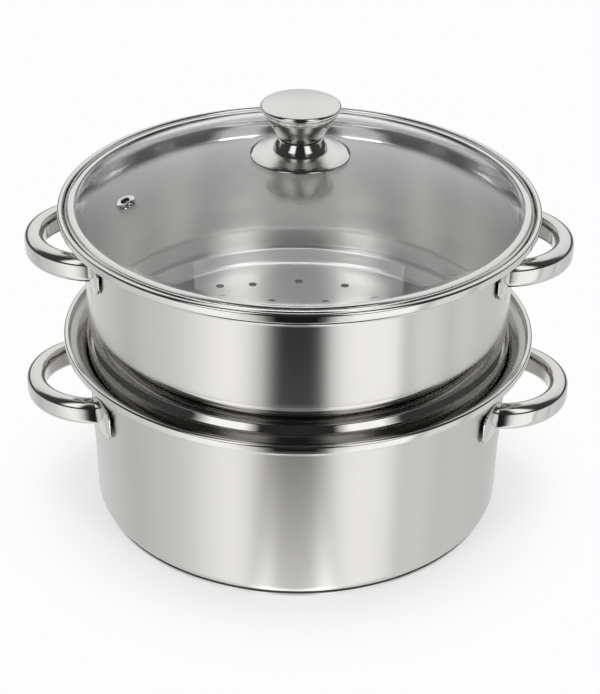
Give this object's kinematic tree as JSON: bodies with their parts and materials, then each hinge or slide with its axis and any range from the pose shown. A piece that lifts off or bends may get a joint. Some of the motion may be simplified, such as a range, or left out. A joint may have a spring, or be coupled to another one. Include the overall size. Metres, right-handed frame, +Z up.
{
  "type": "steamer pot",
  "caption": "Stainless steel steamer pot: a wide pot with looped side handles, a steamer tier that nests in its flared rim, and a domed glass lid with a conical knob and steam vent.",
  "frame": {"origin": "on the axis of the pot, at the underside of its base", "axes": "+Z up along the axis, X through the handles, the front towards -Y"},
  "size_m": [0.3372, 0.286, 0.2609],
  "materials": {
    "satin_steel": "satin walls, polished rims",
    "polished_steel": "mirror polished",
    "handle_steel": "polished",
    "plain_steel": "plain",
    "aluminium_core": "dull edge",
    "clear_glass": "clear, toughened",
    "seal_rubber": "matt silicone",
    "dark_plastic": "matt"
  },
  "bodies": {
    "pot": {"pot_shell": "satin_steel", "pot_base_cap": "satin_steel", "pot_base_core": "aluminium_core", "pot_handle_left": "handle_steel", "pot_handle_left_front_lug": "handle_steel", "pot_handle_left_rear_lug": "handle_steel", "pot_handle_right": "handle_steel", "pot_handle_right_front_lug": "handle_steel", "pot_handle_right_rear_lug": "handle_steel"},
    "steamer": {"steamer_shell": "satin_steel", "steamer_handle_left": "handle_steel", "steamer_handle_left_front_lug": "handle_steel", "steamer_handle_left_rear_lug": "handle_steel", "steamer_handle_right": "handle_steel", "steamer_handle_right_front_lug": "handle_steel", "steamer_handle_right_rear_lug": "handle_steel"},
    "lid": {"lid_glass": "clear_glass", "lid_rim_band": "polished_steel", "lid_vent_eyelet": "polished_steel", "lid_vent_gasket": "seal_rubber", "knob_cap": "polished_steel", "knob_cup": "polished_steel", "knob_foot": "polished_steel", "knob_flange": "polished_steel", "knob_neck_washer": "dark_plastic", "knob_spacer": "plain_steel", "knob_gasket": "seal_rubber", "knob_screw": "plain_steel", "knob_nut": "plain_steel", "knob_screw_gasket": "seal_rubber", "knob_screw_washer": "plain_steel"}
  },
  "joints": [
    {"name": "steamer_lift", "type": "slide", "parent": "pot", "child": "steamer", "axis": [0, 0, 1], "range_m": [0, 0.12]},
    {"name": "lid_lift", "type": "slide", "parent": "steamer", "child": "lid", "axis": [0, 0, 1], "range_m": [0, 0.12]}
  ]
}
